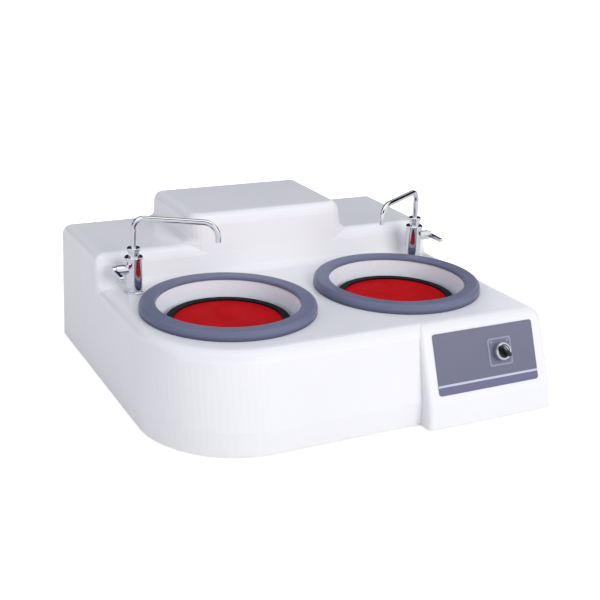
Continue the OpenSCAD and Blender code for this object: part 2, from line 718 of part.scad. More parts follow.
module motor_bracket() color(steel) difference() {
  union() {
    translate([0, bracket_y1, 0]) rotate([quarter, 0, 0]) linear_extrude(height = bracket_y1 - bracket_y0)
      polygon([[-bracket_x, bracket_h], [-bracket_x, base_top + sheet_t], [-bracket_x - leg_foot,
        base_top + sheet_t],
        [-bracket_x - leg_foot, base_top], [-bracket_x + sheet_t, base_top],
        [-bracket_x + sheet_t, bracket_h - sheet_t], [bracket_x - sheet_t, bracket_h - sheet_t],
        [bracket_x - sheet_t, base_top], [bracket_x + leg_foot, base_top],
        [bracket_x + leg_foot, base_top + sheet_t], [bracket_x, base_top + sheet_t], [bracket_x,
        bracket_h]]);
    translate([-bracket_x, bracket_front, bracket_h - sheet_t])
      cube([2 * bracket_x, bracket_y0 - bracket_front, sheet_t]);
  }
  translate([0, motor_y, bracket_h - sheet_t - over]) {
    cylinder(r = motor_bearing_r, h = sheet_t + 2 * over);
    four_bolts(motor_bolt_at) cylinder(r = motor_bolt_r + fit_gap, h = sheet_t + 2 * over);
  }
  for (p = leg_bolts) translate([p[0], p[1], base_top - over]) cylinder(r = leg_bolt_r + fit_gap,
    h = sheet_t + 2 * over);
}

// Bowl
bowl_root_r = 8;
bowl_collar_r = neck_r + clear + bowl_t;
bowl_collar_h = 11;
drain_spout_l = 24;
// Points of the bowl's half section, from the collar's foot round to its mouth
function bowl_section() = concat(
  [[neck_r + clear, bowl_low]],
  [for (p = corner(bowl_floor_r - bowl_root_r, bowl_floor_z + bowl_root_r, bowl_root_r + bowl_t,
    bowl_root_r + bowl_t, 3 * quarter, small_steps)) p],
  [[bowl_r + bowl_t, deck_h], [flange_r, deck_h], [flange_r, deck_h + flange_t],
    [bowl_r + bowl_t, deck_h + flange_t], [bowl_r + bowl_t, deck_h + rim_h - tip_r],
    [bowl_r + bowl_t - tip_r, deck_h + rim_h], [bowl_r + tip_r, deck_h + rim_h], [bowl_r,
    deck_h + rim_h - tip_r]],
  [for (i = [small_steps:-1:0]) corner(bowl_floor_r - bowl_root_r, bowl_floor_z + bowl_root_r,
    bowl_root_r, bowl_root_r, 3 * quarter, small_steps)[i]],
  [[bowl_collar_r, bowl_floor_z], [bowl_collar_r, bowl_floor_z + bowl_collar_h],
    [neck_r + clear, bowl_floor_z + bowl_collar_h]]);
module bowl(side) color(white) translate([side * disc_x, -disc_y, 0]) difference() {
  spot = [side * (drain_x - disc_x), drain_y + disc_y, bowl_low - drain_spout_l];
  union() {
    rotate_extrude() polygon(bowl_section());
    translate(spot) cylinder(r = drain_r, h = drain_spout_l + bowl_t / 2);
  }
  translate([spot[0], spot[1], spot[2] - over]) cylinder(r = drain_r - drain_t,
    h = drain_spout_l + bowl_t + 2 * over);
}
module left_bowl() bowl(-1);
module right_bowl() bowl(1);

// Splash ring
ring_shoulder_h = 9;
ring_lip_round = 3.5;
ring_wall = 4.5;
ring_under = rim_h + clear;
module splash_ring(side) color(slate) translate([side * disc_x, -disc_y, deck_h]) rotate_extrude()
  polygon(concat(
  [[ring_r, 0]],
  corner(ring_top_r, ring_h - ring_shoulder_h, ring_r - ring_top_r, ring_shoulder_h, 0, small_steps),
  corner(ring_lip_r + ring_lip_round, ring_h - ring_lip_round - tip_r, ring_lip_round,
    ring_lip_round, quarter, small_steps),
  [[ring_lip_r, ring_under], [ring_top_r - tip_r, ring_under], [ring_r - ring_wall, 0]]));
module left_splash_ring() splash_ring(-1);
module right_splash_ring() splash_ring(1);

module cloth(side) color(red) translate([side * disc_x, -disc_y, platen_top]) cylinder(r = cloth_r,
  h = cloth_t);
module left_cloth() cloth(-1);
module right_cloth() cloth(1);
module hoop(side) color(black) translate([side * disc_x, -disc_y, cloth_top]) rotate_extrude()
  polygon(concat(
  [[hoop_in_r, 0], [platen_r + clear, 0], [platen_r + clear, -hoop_skirt], [hoop_r, -hoop_skirt]],
  corner(hoop_r - hoop_h / 2, hoop_h / 2, hoop_h / 2, hoop_h / 2, 0, small_steps),
  [[hoop_in_r + tip_r, hoop_h], [hoop_in_r, hoop_h - tip_r]]));
module left_hoop() hoop(-1);
module right_hoop() hoop(1);

// Turntable
skirt_gap = 4;
platen_skirt_r = bowl_collar_r + skirt_gap;
platen_skirt_t = 4;
platen_skirt_l = 8;
platen_relief_d = 5;
platen_rim_w = 10;
platen_relief_r = platen_r - platen_rim_w;
module platen(side) color(steel) translate([side * disc_x, -disc_y, 0]) rotate_extrude() polygon([
  [0, platen_low + pilot_h + clear], [pilot_r + fit_gap, platen_low + pilot_h + clear],
  [pilot_r + fit_gap, platen_low],
  [platen_skirt_r, platen_low], [platen_skirt_r, platen_low - platen_skirt_l],
  [platen_skirt_r + platen_skirt_t, platen_low - platen_skirt_l],
  [platen_skirt_r + platen_skirt_t, platen_low + platen_relief_d], [platen_relief_r,
  platen_low + platen_relief_d],
  [platen_relief_r, platen_low], [platen_r - tip_r, platen_low], [platen_r, platen_low + tip_r],
  [platen_r, platen_top - tip_r], [platen_r - tip_r, platen_top], [0, platen_top]]);
module left_platen() platen(-1);
module right_platen() platen(1);

// Spindle, its pulley bolt and its bearings
hub_r = 20;
pulley_bolt_r = 4;
pulley_bolt_l = 20;
washer_r = 17;
washer_t = 2.5;
spindle_end = hub_low;
module spindle(side) color(steel) translate([side * disc_x, -disc_y, 0]) difference() {
  rotate_extrude() polygon([[0, spindle_end], [spindle_r, spindle_end], [spindle_r,
    lower_bearing_z + bearing_w],
    [shoulder_r, lower_bearing_z + bearing_w], [shoulder_r, upper_bearing_z], [spindle_r,
    upper_bearing_z],
    [spindle_r, head_low], [head_r, head_low], [head_r, platen_low], [pilot_r, platen_low],
    [pilot_r, platen_low + pilot_h], [0, platen_low + pilot_h]]);
  translate([0, 0, spindle_end - over]) cylinder(r = pulley_bolt_r + fit_gap, h = pulley_bolt_l + over);
}
module left_spindle() spindle(-1);
module right_spindle() spindle(1);
module pulley_bolt(side) color(steel) translate([side * disc_x, -disc_y, spindle_end]) {
  cylinder(r = pulley_bolt_r, h = pulley_bolt_l);
  translate([0, 0, -washer_t]) cylinder(r = washer_r, h = washer_t);
  translate([0, 0, -2 * washer_t]) cylinder(r = screw_head_r + washer_t, h = washer_t, $fn = 6);
}
module left_pulley_bolt() pulley_bolt(-1);
module right_pulley_bolt() pulley_bolt(1);

// Ball bearings: shares of the space between bore and outer radius
ball_share = 0.3;
race_share = 0.33;
ball_count = 9;
function ball_pitch(bore_r, outer_r) = (bore_r + outer_r) / 2;
function ball_radius(bore_r, outer_r) = (outer_r - bore_r) * ball_share;
module ball_track(bore_r, outer_r, w) {
  translate([0, 0, w / 2]) rotate_extrude() translate([ball_pitch(bore_r, outer_r), 0])
    circle(r = ball_radius(bore_r, outer_r) + run_gap);
}
module outer_ring(bore_r, outer_r, w) difference() {
  cylinder(r = outer_r, h = w);
  translate([0, 0, -over]) cylinder(r = outer_r - (outer_r - bore_r) * race_share, h = w + 2 * over);
  ball_track(bore_r, outer_r, w);
}
module inner_ring(bore_r, outer_r, w) difference() {
  cylinder(r = bore_r + (outer_r - bore_r) * race_share, h = w);
  translate([0, 0, -over]) cylinder(r = bore_r + fit_gap, h = w + 2 * over);
  ball_track(bore_r, outer_r, w);
}
module balls(bore_r, outer_r, w) {
  for (i = [0:ball_count - 1]) rotate([0, 0, i * 4 * quarter / ball_count])
    translate([ball_pitch(bore_r, outer_r), 0, w / 2]) sphere(r = ball_radius(bore_r, outer_r), $fn = 24);
}
spindle_bearings_z = [lower_bearing_z, upper_bearing_z];
module inner_rings(side) color(steel) translate([side * disc_x, -disc_y, 0])
  for (z = spindle_bearings_z) translate([0, 0, z]) inner_ring(spindle_r, bearing_r, bearing_w);
module left_inner_rings() inner_rings(-1);
module right_inner_rings() inner_rings(1);
module spindle_seals() color(rubber) at_discs()
  for (z = [[housing_low, bearing_lip], [upper_bearing_z + bearing_w, 2 * bearing_lip]])
    translate([0, 0, z[0]])
    difference() {
      cylinder(r = bearing_r, h = z[1]);
      translate([0, 0, -over]) cylinder(r = spindle_r + run_gap, h = z[1] + 2 * over);
    }

// Motor
motor_shaft_low = 20;
motor_bearing_r = 23.5;
motor_bearing_w = 14;
motor_spigot_h = 10;
motor_wall_t = 6;
motor_frame_in_r = motor_r - motor_wall_t;
motor_cap_t = 12;
motor_bearings_z = [motor_low + motor_spigot_h - motor_bearing_w, motor_high - motor_spigot_h];
core_gap = 13;
core_low = motor_low + motor_spigot_h + core_gap;
core_high = motor_high - motor_spigot_h - core_gap;
core_r = 35.5;
rotor_shaft_r = 13;
air_gap = 0.5;
fan_gap = 4;
fan_z = motor_high + motor_cap_t + fan_gap;
fan_h = 14;
fan_r = 58;
fan_plate_t = 2;
fan_hub_r = 15;
blade_count = 8;
blade_t = 2.5;
cover_t = 1.6;
grille_count = 12;
grille_r = 6;
grille_at = 40;
fin_t = 3;

module bearing_outer_rings() color(steel) {
  at_discs() for (z = spindle_bearings_z) translate([0, 0, z]) outer_ring(spindle_r, bearing_r,
    bearing_w);
  for (z = motor_bearings_z) translate([0, motor_y, z]) outer_ring(motor_shaft_r, motor_bearing_r,
    motor_bearing_w);
}
module bearing_balls() color(chrome) {
  at_discs() for (z = spindle_bearings_z) translate([0, 0, z]) balls(spindle_r, bearing_r, bearing_w);
  for (z = motor_bearings_z) translate([0, motor_y, z]) balls(motor_shaft_r, motor_bearing_r,
    motor_bearing_w);
}
module motor_inner_rings() color(steel)
  for (z = motor_bearings_z) translate([0, motor_y, z]) inner_ring(motor_shaft_r, motor_bearing_r,
    motor_bearing_w);
module motor_housing() color(iron) translate([0, motor_y, motor_low]) difference() {
  union() {
    cylinder(r = motor_r, h = motor_l);
    for (i = [0:fin_count - 1]) rotate([0, 0, i * 4 * quarter / fin_count])
      translate([motor_r - over, -fin_t / 2, 0]) cube([fin_h + over, fin_t, motor_l]);
  }
  translate([0, 0, -over]) cylinder(r = motor_frame_in_r + fit_gap, h = motor_l + 2 * over);
}
module motor_stator() color(copper) translate([0, motor_y, core_low]) difference() {
  cylinder(r = motor_frame_in_r, h = core_high - core_low);
  translate([0, 0, -over]) cylinder(r = core_r + air_gap, h = core_high - core_low + 2 * over);
}
module motor_end_caps() color(iron) translate([0, motor_y, 0]) {
  difference() {
    union() {
      translate([0, 0, bracket_h]) cylinder(r = motor_flange_r, h = motor_flange_t);
      translate([0, 0, motor_low]) cylinder(r = motor_frame_in_r, h = motor_spigot_h);
    }
    translate([0, 0, bracket_h - over]) cylinder(r = motor_shaft_r + clear,
      h = motor_flange_t + 2 * over);
    translate([0, 0, motor_bearings_z[0]]) cylinder(r = motor_bearing_r + fit_gap,
      h = motor_bearing_w + over);
    translate([0, 0, bracket_h - over]) four_bolts(motor_bolt_at)
      cylinder(r = motor_bolt_r + fit_gap, h = motor_flange_t + 2 * over);
  }
  difference() {
    union() {
      translate([0, 0, motor_high]) cylinder(r = motor_r + fin_h, h = motor_cap_t);
      translate([0, 0, motor_high - motor_spigot_h]) cylinder(r = motor_frame_in_r, h = motor_spigot_h);
    }
    translate([0, 0, motor_high - over]) cylinder(r = motor_shaft_r + clear, h = motor_cap_t + 2 * over);
    translate([0, 0, motor_bearings_z[1] - over]) cylinder(r = motor_bearing_r + fit_gap,
      h = motor_bearing_w + over);
  }
}
module motor_fan_cover() color(iron) translate([0, motor_y, motor_high]) difference() {
  cylinder(r = motor_r + fin_h + fit_gap + cover_t, h = fan_cover_h);
  translate([0, 0, -over]) cylinder(r = motor_r + fin_h + fit_gap, h = fan_cover_h - cover_t + over);
  for (i = [0:grille_count - 1]) rotate([0, 0, i * 4 * quarter / grille_count])
    translate([grille_at, 0, fan_cover_h - cover_t - over]) cylinder(r = grille_r,
      h = cover_t + 2 * over);
}
module motor_shaft() color(steel) translate([0, motor_y, 0]) rotate_extrude() polygon([
  [0, motor_shaft_low], [motor_shaft_r, motor_shaft_low], [motor_shaft_r,
  motor_bearings_z[0] + motor_bearing_w],
  [rotor_shaft_r, motor_bearings_z[0] + motor_bearing_w], [rotor_shaft_r, motor_bearings_z[1]],
  [motor_shaft_r, motor_bearings_z[1]], [motor_shaft_r, fan_z + fan_h], [0, fan_z + fan_h]]);
module motor_rotor() color(steel) translate([0, motor_y, core_low]) difference() {
  cylinder(r = core_r, h = core_high - core_low);
  translate([0, 0, -over]) cylinder(r = rotor_shaft_r + fit_gap, h = core_high - core_low + 2 * over);
}
module motor_fan() color(black) translate([0, motor_y, fan_z]) difference() {
  union() {
    cylinder(r = fan_r, h = fan_plate_t);
    cylinder(r = fan_hub_r, h = fan_h);
    for (i = [0:blade_count - 1]) rotate([0, 0, i * 4 * quarter / blade_count])
      translate([motor_shaft_r + over, -blade_t / 2, 0]) cube([fan_r - motor_shaft_r - 2 * over,
        blade_t, fan_h]);
  }
  translate([0, 0, -over]) cylinder(r = motor_shaft_r + fit_gap, h = fan_h + 2 * over);
}

// Belt drive. The belt's flanks slope by this angle.
flank = 19;
belt_out = 2;
belt_in = belt_t - belt_out;
groove_under = 1.5;
// Largest angle between two cross sections of a belt
belt_step = 5;
rim_over = 0.5;
// Width of belt at distance d outside the pitch line
function belt_wide(d) = belt_w - 2 * (belt_out - d) * tan(flank);
groove_play = 2 * run_gap / cos(flank);
// Section of a rim with V grooves at heights zs, from z0 to z1, down to radius rin
function rim_section(pitch_r, zs, z0, z1, rin) = concat(
  [[rin, z0], [pitch_r + belt_out + rim_over, z0]],
  [for (z = zs, c = [[rim_over + belt_out, -1], [-belt_in - groove_under, -1],
    [-belt_in - groove_under, 1], [rim_over + belt_out, 1]])
    [pitch_r + c[0], z + c[1] * (belt_wide(c[0]) + groove_play) / 2]],
  [[pitch_r + belt_out + rim_over, z1], [rin, z1]]);
web_t = 6;
lightening_count = 5;
// Radius of a hole in the web, as a share of the web's width
lightening_share = 0.34;
module pulley(side, pitch_r, z) color(iron) translate([side * disc_x, -disc_y, 0]) {
  rim_in = pitch_r - belt_in - groove_under - web_t;
  hole_r = (rim_in - hub_r) * lightening_share;
  difference() {
    union() {
      rotate_extrude() polygon(rim_section(pitch_r, [z], z - rim_w / 2, z + rim_w / 2, rim_in));
      translate([0, 0, z - web_t / 2]) cylinder(r = rim_in + over, h = web_t);
      translate([0, 0, hub_low]) cylinder(r = hub_r, h = hub_top - hub_low);
    }
    translate([0, 0, hub_low - over]) cylinder(r = spindle_r + fit_gap, h = hub_top - hub_low + 2 * over);
    for (i = [0:lightening_count - 1]) rotate([0, 0, i * 4 * quarter / lightening_count])
      translate([(rim_in + hub_r) / 2, 0, z - web_t / 2 - over]) cylinder(r = hole_r,
        h = web_t + 2 * over);
  }
}
module left_pulley() pulley(-1, left_pitch_r, left_belt_z);
module right_pulley() pulley(1, right_pitch_r, right_belt_z);
module motor_pulley() color(iron) translate([0, motor_y, 0]) rotate_extrude() polygon(
  rim_section(motor_pitch_r, [right_belt_z, left_belt_z], right_belt_z - rim_w / 2,
    left_belt_z + rim_w / 2,
    motor_shaft_r + fit_gap));

// Points of a belt's middle line, each [[x, y], angle of the outward normal], round a large
// pulley of pitch radius r1 at p1 and a small one of r2 at p2
function belt_line(p1, r1, p2, r2) = let (
    d = p2 - p1,
    phi = atan2(d[1], d[0]),
    alpha = acos((r1 - r2) / norm(d)),
    wrap = 4 * quarter - 2 * alpha,
    n1 = ceil(wrap / belt_step),
    n2 = ceil(2 * alpha / belt_step))
  concat(
    [for (i = [0:n1]) let (a = phi + alpha + wrap * i / n1) [p1 + r1 * [cos(a), sin(a)], a]],
    [for (i = [0:n2]) let (a = phi - alpha + 2 * alpha * i / n2) [p2 + r2 * [cos(a), sin(a)], a]]);
module belt(p1, r1, p2, r2, z) {
  section = [for (c = [[-belt_in, -1], [belt_out, -1], [belt_out, 1], [-belt_in, 1]]) [c[0],
    c[1] * belt_wide(c[0]) / 2]];
  line = belt_line(p1, r1, p2, r2);
  m = len(section);
  k = len(line);
  polyhedron(
    points = [for (l = line, q = section) [l[0][0] + q[0] * cos(l[1]), l[0][1] + q[0] * sin(l[1]),
      z + q[1]]],
    faces = [for (j = [0:k - 1], i = [0:m - 1], half = [0, 1]) let (
        a = j * m + i, a1 = j * m + (i + 1) % m,
        b = (j + 1) % k * m + i, b1 = (j + 1) % k * m + (i + 1) % m)
      half == 0 ? [a, a1, b1] : [a, b1, b]]);
}
module left_belt() color(rubber) belt([-disc_x, -disc_y], left_pitch_r, [0, motor_y], motor_pitch_r,
  left_belt_z);
module right_belt() color(rubber) belt([disc_x, -disc_y], right_pitch_r, [0, motor_y], motor_pitch_r,
  right_belt_z);

// Taps, built at the left or right with +X pointing away from the machine's centre
tap_foot_h = 3;
tap_flange_r = 16.5;
tap_flange_h = 4;
tap_shank_l = 22;
tap_barb_r = 4;
tap_barb_l = 20;
waterway_r = 2.6;
stem_r = 4;
stem_l = 14;
lever_hub_r = 7.5;
lever_t = 6;
lever_w = 8;
lever_tip_w = 6;
swivel_nut_h = 6.5;
neck_top = tap_h + tap_neck_h;
module at_tap(side) translate([side * tap_x, tap_y, deck_h]) mirror([side < 0 ? 1 : 0, 0, 0]) children();
module tap(side) color(chrome) at_tap(side) difference() {
  union() {
    rotate_extrude() polygon([[0, -tap_shank_l - tap_barb_l], [tap_barb_r, -tap_shank_l - tap_barb_l],
      [tap_barb_r, -tap_shank_l], [tap_shank_r, -tap_shank_l], [tap_shank_r, 0], [tap_foot_r, 0],
      [tap_foot_r, tap_foot_h - tip_r], [tap_foot_r - tip_r, tap_foot_h], [tap_r, tap_foot_h + tip_r],
      [tap_r, tap_h], [tap_flange_r, tap_h], [tap_flange_r, tap_h + tap_flange_h - tip_r],
      [tap_flange_r - tip_r, tap_h + tap_flange_h], [tap_neck_r, tap_h + tap_flange_h], [tap_neck_r,
      neck_top],
      [0, neck_top]]);
    translate([0, 0, valve_h]) bar_x(valve_r, 0, valve_reach);
  }
  translate([0, 0, -tap_shank_l - tap_barb_l - over]) cylinder(r = waterway_r,
    h = tap_h + tap_shank_l + tap_barb_l + over);
  translate([0, 0, tap_h]) cylinder(r = spout_r + run_gap, h = tap_neck_h + over);
  translate([0, 0, valve_h]) bar_x(stem_r + run_gap, valve_reach - stem_l, valve_reach + over);
}
module left_tap() tap(-1);
module right_tap() tap(1);
module lever(side) color(chrome) at_tap(side) translate([0, 0, valve_h]) {
  bar_x(stem_r, valve_reach - stem_l + clear, valve_reach + clear);
  bar_x(lever_hub_r, valve_reach + clear, valve_reach + clear + lever_t);
  translate([valve_reach + clear, 0, 0]) rotate([0, quarter, 0]) linear_extrude(height = lever_t)
    polygon(concat([[lever_w / 2, 0], [-lever_w / 2, 0]],
      [for (p = corner(0, -lever_l + lever_tip_w / 2, lever_tip_w / 2, lever_tip_w / 2, 2 * quarter,
      small_steps)) p],
      [for (p = corner(0, -lever_l + lever_tip_w / 2, lever_tip_w / 2, lever_tip_w / 2, 3 * quarter,
      small_steps)) p]));
}
module left_lever() lever(-1);
module right_lever() lever(1);
module spout_nuts() color(chrome) for (side = [-1, 1]) at_tap(side) translate([0, 0, neck_top])
  rotate_extrude()
  polygon([[spout_r + run_gap, 0], [swivel_nut_r - tip_r, 0], [swivel_nut_r, tip_r],
    [swivel_nut_r, swivel_nut_h - tip_r], [swivel_nut_r - tip_r, swivel_nut_h], [spout_r + run_gap,
    swivel_nut_h]]);
// The tube's run with radius r, longer by more at both ends
module spout_run(r, more) {
  arm = spout_reach - spout_bend_r - nozzle_bend_r;
  foot = tap_h + clear;
  translate([0, 0, foot - more]) cylinder(r = r, h = spout_h - spout_bend_r - foot + more);
  translate([spout_bend_r, 0, spout_h - spout_bend_r]) rotate([-quarter, 0, 2 * quarter])
    rotate_extrude(angle = -quarter) translate([spout_bend_r, 0]) circle(r = r);
  translate([0, 0, spout_h]) bar_x(r, spout_bend_r, spout_bend_r + arm);
  translate([spout_bend_r + arm, 0, spout_h - nozzle_bend_r]) rotate([quarter, 0, 0])
    rotate_extrude(angle = quarter) translate([nozzle_bend_r, 0]) circle(r = r);
  translate([spout_reach, 0, spout_h - nozzle_bend_r - nozzle_l - more]) cylinder(r = r,
    h = nozzle_l + more);
}
module spout(side) color(chrome) at_tap(side) rotate([0, 0, 2 * quarter + spout_turn]) difference() {
  spout_run(spout_r, 0);
  spout_run(spout_r - spout_t, over);
}
module left_spout() spout(-1);
module right_spout() spout(1);
back_nut_r = 17;
back_nut_h = 8;
module tap_back_nuts() color(steel) for (side = [-1, 1])
  translate([side * tap_x, tap_y, deck_h - shell_t - back_nut_h]) difference() {
    cylinder(r = back_nut_r, h = back_nut_h, $fn = 6);
    translate([0, 0, -over]) cylinder(r = tap_shank_r + fit_gap, h = back_nut_h + 2 * over);
  }

// Water supply and drain
hose_t = 2;
supply_bend = 20;
drain_bend = 25;
hose_grip = 18;
inlet_in_y = supply_y - inlet_r;
module inlet_fitting() color(chrome) translate([-tap_x, 0, supply_z]) difference() {
  union() {
    bar_y(inlet_r, inlet_in_y, back_reach);
    translate([0, back_at(supply_z - drain_nut_r, 0), 0]) rotate([-quarter, 0, 0])
      cylinder(r = drain_nut_r, h = drain_nut_t, $fn = 6);
    bar_y(tap_barb_r, inlet_in_y - tap_barb_l, inlet_in_y);
    translate([0, supply_y, 0]) bar_x(tap_barb_r, 0, inlet_r + tap_barb_l);
  }
  bar_y(waterway_r, inlet_in_y - tap_barb_l - over, back_reach + over);
  translate([0, supply_y, 0]) bar_x(waterway_r, 0, inlet_r + tap_barb_l + over);
}
// A quarter bend of bend radius b and tube radius r, from the origin along +Z, turning towards +X
module elbow(b, r) {
  translate([b, 0, 0]) rotate([quarter, 0, 0]) rotate([0, 0, quarter]) rotate_extrude(angle = quarter)
    translate([b, 0]) circle(r = r);
}
module supply_tube(r, more) {
  top = deck_h - tap_shank_l - clear;
  for (side = [-1, 1]) translate([side * tap_x, tap_y, supply_z + supply_bend])
    cylinder(r = r, h = top - supply_z - supply_bend + more);
  for (side = [-1, 1]) translate([side * tap_x, tap_y, supply_z + supply_bend])
    rotate([0, 0, quarter]) mirror([0, 0, 1]) elbow(supply_bend, r);
  translate([-tap_x, 0, supply_z]) bar_y(r, tap_y + supply_bend, inlet_in_y - clear + more);
  translate([tap_x, 0, supply_z]) bar_y(r, tap_y + supply_bend, supply_y - supply_bend);
  translate([tap_x, supply_y - supply_bend, supply_z]) rotate([-quarter, 0, 0]) rotate([0, 0,
    2 * quarter])
    elbow(supply_bend, r);
  translate([0, supply_y, supply_z]) bar_x(r, -tap_x + inlet_r + clear - more, tap_x - supply_bend);
}
module supply_hoses() color(light) difference() {
  supply_tube(supply_r, 0);
  supply_tube(tap_barb_r + fit_gap, over);
}
module drain_tube(side, r, more) translate([side * drain_x, 0, 0]) {
  translate([0, drain_y, drain_z + drain_bend]) cylinder(r = r,
    h = bowl_low - clear - drain_z - drain_bend + more);
  translate([0, drain_y, drain_z + drain_bend]) rotate([0, 0, quarter]) mirror([0, 0, 1])
    elbow(drain_bend, r);
  translate([0, 0, drain_z]) bar_y(r, drain_y + drain_bend, back_at(drain_z,
    shell_t) - hose_grip / 2 + more);
}
module drain_hoses() color(light) for (side = [-1, 1]) difference() {
  drain_tube(side, drain_hose_r, 0);
  drain_tube(side, drain_r + fit_gap, over);
}
module drain_outlets() color(steel) for (side = [-1, 1]) translate([side * drain_x, 0, drain_z])
  difference() {
  union() {
    bar_y(drain_r, back_at(drain_z, shell_t) - hose_grip / 2 - hose_grip, back_reach);
    translate([0, back_at(drain_z - drain_nut_r, 0), 0]) rotate([-quarter, 0, 0])
      cylinder(r = drain_nut_r, h = drain_nut_t, $fn = 6);
  }
  bar_y(drain_r - drain_t, 0, back_reach + over);
}
gland_hex_r = 13;
gland_hex_t = 6;
gland_dome_r = 10.5;
gland_bore_r = 4;
module cable_gland() color(black) translate([gland_x, 0, gland_z]) difference() {
  y = back_at(gland_z - gland_hex_r, 0);
  inner = back_at(gland_z + gland_hex_r, shell_t);
  union() {
    bar_y(gland_r, inner - gland_hex_t, back_reach - gland_hex_t);
    translate([0, y, 0]) rotate([-quarter, 0, 0]) cylinder(r = gland_hex_r, h = gland_hex_t, $fn = 6);
    translate([0, y + gland_hex_t, 0]) rotate([-quarter, 0, 0])
      cylinder(r1 = gland_dome_r, r2 = gland_dome_r - tip_r, h = back_reach - y - gland_hex_t);
    translate([0, inner - gland_hex_t, 0]) rotate([-quarter, 0, 0])
      cylinder(r = gland_hex_r, h = gland_hex_t - over, $fn = 6);
  }
  bar_y(gland_bore_r, inner - gland_hex_t - over, back_reach + over);
}

// Panel, marks and switch
mark_t = 0.3;
mark_r = 5;
dot_r = 2.4;
dot_in = 8;
neck_above = 6;
contact_gap = 3;
switch_nut_r = 15;
knob_stem_r = 3;
knob_stem_l = 18;
grip_round = 0.7;
// Radius of the grip's ends, as a share of its width
grip_end_share = 0.42;
module control_panel() color(slate) on_panel(0, 0) difference() {
  round_plate(panel_w, panel_h, panel_r, panel_t);
  translate([switch_dx, switch_dy, -over]) cylinder(r = switch_neck_r + fit_gap, h = panel_t + 2 * over);
}
module panel_marks() color(light) {
  on_panel(0, stripe_up - panel_h / 2) translate([-panel_w / 2, -stripe_h / 2, panel_t])
    cube([panel_w, stripe_h, mark_t]);
  on_panel(switch_dx, switch_dy) translate([0, 0, panel_t]) {
    difference() {
      round_plate(mark_w, mark_w, mark_r, mark_t);
      translate([0, 0, -over]) round_plate(mark_w - 2 * mark_line, mark_w - 2 * mark_line,
        mark_r - mark_line / 2, mark_t + 2 * over);
    }
    for (side = [-1, 1]) translate([side * (mark_w / 2 - dot_in), mark_w / 2 - dot_in + dot_r / 2, 0])
      cylinder(r = dot_r, h = mark_t);
  }
}
module switch_bezel() color(chrome) on_panel(switch_dx, switch_dy) translate([0, 0, panel_t])
  rotate_extrude()
  polygon(concat([[switch_neck_r + fit_gap, 0], [bezel_r, 0]],
    corner(bezel_r - 2 * tip_r, bezel_h - 2 * tip_r, 2 * tip_r, 2 * tip_r, 0, small_steps),
    [[switch_neck_r + tip_r, bezel_h], [switch_neck_r + fit_gap, bezel_h - tip_r]]));
module switch_body() color(black) on_panel(switch_dx, switch_dy) difference() {
  union() {
    translate([0, 0, -shell_t - contact_gap]) cylinder(r = switch_neck_r,
      h = shell_t + contact_gap + panel_t + neck_above);
    translate([0, 0, -shell_t - contact_gap]) cylinder(r = switch_nut_r, h = contact_gap, $fn = 6);
    translate([-contact_w / 2, -contact_w / 2, -shell_t - contact_gap - contact_d])
      cube([contact_w, contact_w, contact_d]);
  }
  translate([0, 0, panel_t + neck_above - knob_stem_l]) cylinder(r = knob_stem_r + run_gap,
    h = knob_stem_l + over);
}
module selector_knob() color(black) on_panel(switch_dx, switch_dy) rotate([0, 0, knob_turn]) {
  low = panel_t + neck_above + clear;
  bar_z = panel_t + bezel_h + clear;
  translate([0, 0, low - knob_stem_l + 2 * clear]) cylinder(r = knob_stem_r, h = knob_stem_l - 2 * clear);
  translate([0, 0, low]) cylinder(r = knob_r, h = bar_z - low);
  translate([0, 0, bar_z]) {
    round_plate(grip_w, grip_l, grip_w * grip_end_share, grip_h - bar_z - grip_round);
    translate([0, 0, grip_h - bar_z - grip_round])
      round_plate(grip_w - grip_round, grip_l - grip_round, (grip_w - grip_round) * grip_end_share,
        grip_round);
  }
}

shell();
base_plate();
feet();
base_screws();
chassis_bolts();
left_bowl();
right_bowl();
left_splash_ring();
right_splash_ring();
left_cloth();
right_cloth();
left_hoop();
right_hoop();
left_platen();
right_platen();
left_spindle();
right_spindle();
left_inner_rings();
right_inner_rings();
left_bearing_housing();
right_bearing_housing();
bearing_outer_rings();
bearing_balls();
spindle_seals();
left_pulley();
right_pulley();
left_pulley_bolt();
right_pulley_bolt();
spindle_bridge();
left_belt();
right_belt();
motor_bracket();
motor_housing();
motor_stator();
motor_end_caps();
motor_fan_cover();
motor_shaft();
motor_rotor();
motor_fan();
motor_pulley();
motor_inner_rings();
left_tap();
right_tap();
left_spout();
right_spout();
left_lever();
right_lever();
spout_nuts();
tap_back_nuts();
inlet_fitting();
supply_hoses();
drain_hoses();
drain_outlets();
cable_gland();
control_panel();
panel_marks();
switch_bezel();
switch_body();
selector_knob();
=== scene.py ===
"""Looks of the metallographic grinding machine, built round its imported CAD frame. Metres."""
import json
import math

import bmesh
import bpy
from mathutils import Matrix, Vector


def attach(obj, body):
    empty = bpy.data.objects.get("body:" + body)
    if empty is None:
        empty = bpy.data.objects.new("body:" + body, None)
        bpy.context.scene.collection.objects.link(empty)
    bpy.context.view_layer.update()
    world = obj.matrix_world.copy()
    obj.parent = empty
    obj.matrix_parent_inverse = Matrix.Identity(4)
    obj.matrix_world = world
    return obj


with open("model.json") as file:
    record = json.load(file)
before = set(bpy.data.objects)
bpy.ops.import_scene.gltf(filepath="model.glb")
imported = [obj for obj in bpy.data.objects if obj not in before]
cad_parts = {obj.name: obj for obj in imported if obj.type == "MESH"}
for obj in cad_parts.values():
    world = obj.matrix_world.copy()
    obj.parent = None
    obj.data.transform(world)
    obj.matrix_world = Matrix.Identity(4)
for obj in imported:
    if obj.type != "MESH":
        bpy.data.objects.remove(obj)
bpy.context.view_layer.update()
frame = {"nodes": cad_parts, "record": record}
NODES = frame["nodes"]
SLOT_OF = {s["node"]: s["material_slot"] for s in frame["record"]["subparts"]}

# Camera, fitted to the edges and circles of the photograph

